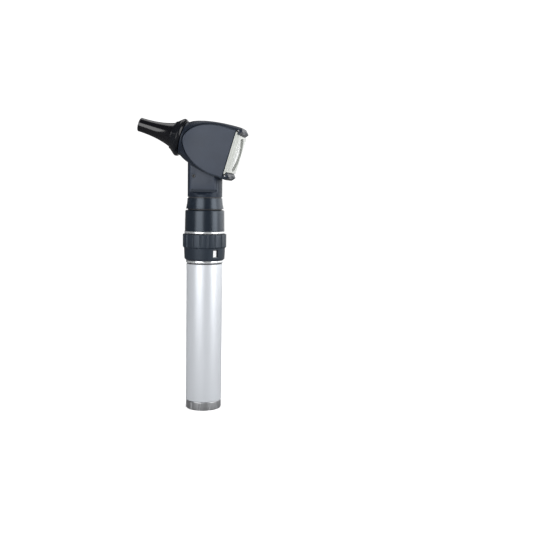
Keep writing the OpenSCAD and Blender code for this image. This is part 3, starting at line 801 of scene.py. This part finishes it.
def head_shell():
    """The black head: its body and neck in one, with the channel, scoop, bores and panel beds."""
    body, neck = head_body(), neck_body()
    combine(body, "UNION", neck)
    back = extent("lens_block", HEAD)[0].x - 0.3 * MM
    channel, hook, mouth = 16.2 * MM, 13.35 * MM, 17.1 * MM
    catch, behind = back + 2.1 * MM, back + 2.5 * MM
    lens_outline = rounded([(back, channel), (catch, channel), (catch, hook), (behind, hook),
                            (LIP + 1 * MM, mouth), (LIP + 1 * MM, -mouth), (behind, -hook),
                            (catch, -hook), (catch, -channel), (back, -channel)], 0.15 * MM)
    scoop_r, scoop_in = 40 * MM, 1 * MM
    scoop = HEAD @ Matrix.Translation((LIP - scoop_in + scoop_r, 0, 0))
    nose_bore, chamber, lamp_bore = 7.2 * MM, 11.6 * MM, 7 * MM
    sight = [(0, SHELL_LOW.x - 1 * MM), (nose_bore, SHELL_LOW.x - 1 * MM), (nose_bore, NOSE),
             (chamber, back + 1 * MM), (0, back + 1 * MM)]
    lamp_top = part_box("lamp_housing")[1].z
    screw = (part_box("lamp_screw")[0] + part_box("lamp_screw")[1]) / 2
    screw_line = Matrix.Translation(screw) @ Matrix.Rotation(math.radians(90), 4, "X")
    bed_layers = [(0, 1.5 * MM), (0, -3 * MM)]
    beds = [cheek_solid("bed", side, bed_layers, PANEL_GAP) for side in (1, -1)]
    combine(body, "DIFFERENCE", block("channel", lens_outline, -20 * MM, 20 * MM, HEAD),
            rod("scoop", scoop_r, -40 * MM, 40 * MM, scoop, 256),
            lathe("sight_bore", sight, TURNED),
            rod("lamp_bore", lamp_bore, NECK - 1 * MM, lamp_top + 1.6 * MM),
            rod("screw_hole", 1.25 * MM, -3 * MM, 8 * MM, screw_line, 48), *beds)
    stand_in(body, "head_shell")


def polish(node, width):
    """A CAD node's own edges rounded by a small bevel."""
    weld = NODES[node].modifiers.new("weld", "WELD")
    weld.merge_threshold = 1e-6
    bevel = NODES[node].modifiers.new("edge", "BEVEL")
    bevel.width = width
    bevel.segments = 3
    bevel.limit_method = "ANGLE"
    bevel.angle_limit = math.radians(35)


# ---------------------------------------------------------------- magnifier

def plate_ring(u, half_y, half_z, inset=0.0, corner=0.6 * MM):
    """A rounded rectangle across the optical axis."""
    y, z = half_y - inset, half_z - inset
    return [(u, a, b) for a, b in signed_round(y, z, corner)]


def signed_round(y, z, corner, steps=5):
    """The corners of a rectangle about the origin, each an arc."""
    points = []
    for turn, (sy, sz) in enumerate(((1, 1), (-1, 1), (-1, -1), (1, -1))):
        for k in range(steps + 1):
            angle = math.pi / 2 * (turn + k / steps)
            points.append((sy * (y - corner) + corner * math.cos(angle),
                           sz * (z - corner) + corner * math.sin(angle)))
    return points


def lens_block():
    """The clear slider: a flange that runs in the channel, a block and a round seat."""
    low, high = extent("lens_block", HEAD)
    half_y, flange, body = high.y, high.z, 13.1 * MM
    step, edge = low.x + 1.2 * MM, 0.3 * MM
    rings = [plate_ring(low.x, half_y, flange, edge),
             plate_ring(low.x + 0.3 * edge, half_y, flange, 0.3 * edge),
             plate_ring(low.x + edge, half_y, flange), plate_ring(step - edge, half_y, flange),
             plate_ring(step - 0.1 * edge, half_y, flange, 0.5 * edge),
             plate_ring(step, half_y, body + 2 * edge), plate_ring(step + edge, half_y, body),
             plate_ring(high.x - edge, half_y, body),
             plate_ring(high.x - 0.3 * edge, half_y, body, 0.3 * edge),
             plate_ring(high.x, half_y, body, edge)]
    piece = loft("magnifier_block", rings, HEAD)
    seat_r, sight_r = 11.95 * MM, 11.2 * MM
    combine(piece, "DIFFERENCE",
            rod("seat", seat_r, low.x + 0.8 * MM, high.x + 1 * MM, TURNED, 192),
            rod("sight", sight_r, low.x - 1 * MM, high.x, TURNED, 192))
    stand_in(piece, "lens_block")


def magnifier_lens():
    """A lens that is flat towards the head and domed towards the eye."""
    r, flat, crown = round_size("magnifier_lens", TURNED)
    rim, steps = 0.9 * MM, 16
    rise = crown - flat - rim
    ball = (r * r + rise * rise) / (2 * rise)
    dome = []
    for i in range(1, steps + 1):
        reach = r * (1 - i / steps)
        dome.append((reach, crown - ball + math.sqrt(ball * ball - reach * reach), 0))
    outline = [(0, flat), (r, flat, 0.2 * MM), (r, flat + rim, 0.2 * MM)] + dome
    stand_in(lathe("magnifier_glass", rounded(outline, 0), TURNED, sides=144), "magnifier_lens")


def lamp_screw():
    """A small set screw with a six-sided socket."""
    low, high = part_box("lamp_screw")
    r, face, root = (high.x - low.x) / 2, low.y, high.y
    socket, deep = 0.65 * MM, 1 * MM
    outline = rounded([(0, 0), (r, 0, 0.1 * MM), (r, root - face, 0.2 * MM),
                       (socket, root - face, 0.08 * MM),
                       (socket, root - face - deep, 0), (0, root - face - deep)], 0)
    place = Matrix.Translation(((low.x + high.x) / 2, root, (low.z + high.z) / 2))

    def shape(angle, radius, z):
        flats = math.cos(math.pi / 6) / math.cos((angle % (math.pi / 3)) - math.pi / 6)
        return radius * flats if 0 < radius <= socket * 1.02 else radius

    outwards = place @ Matrix.Rotation(math.radians(90), 4, "X")
    piece = lathe("hex_socket_screw", outline, outwards, 96, shape)
    stand_in(piece, "lamp_screw")


def contact_spring():
    """The coil under the centre contact."""
    low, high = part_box("contact_spring")
    wire, turns, steps, sides = 0.35 * MM, 5, 32, 12
    centre, radius = (low + high) / 2, (high.x - low.x) / 2 - wire
    rings = []
    for k in range(turns * steps + 1):
        angle = 2 * math.pi * k / steps
        rise = low.z + wire + (high.z - low.z - 2 * wire) * k / (turns * steps)
        rings.append([(centre.x + (radius + wire * math.cos(t)) * math.cos(angle),
                       centre.y + (radius + wire * math.cos(t)) * math.sin(angle),
                       rise + wire * math.sin(t))
                      for t in (2 * math.pi * j / sides for j in range(sides))])
    piece = loft("contact_coil", rings)
    stand_in(piece, "contact_spring")
    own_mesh(piece)


handle_tube()
base_cap()
control_collar()
trim_rings()
coupling_sleeve()
adapter_ring()
speculum()
speculum_ring()
head_shell()
cheeks()
lens_block()
magnifier_lens()
lamp_screw()
contact_spring()
for plate in ("left_neck_plate", "right_neck_plate"):
    polish(plate, 0.2 * MM)
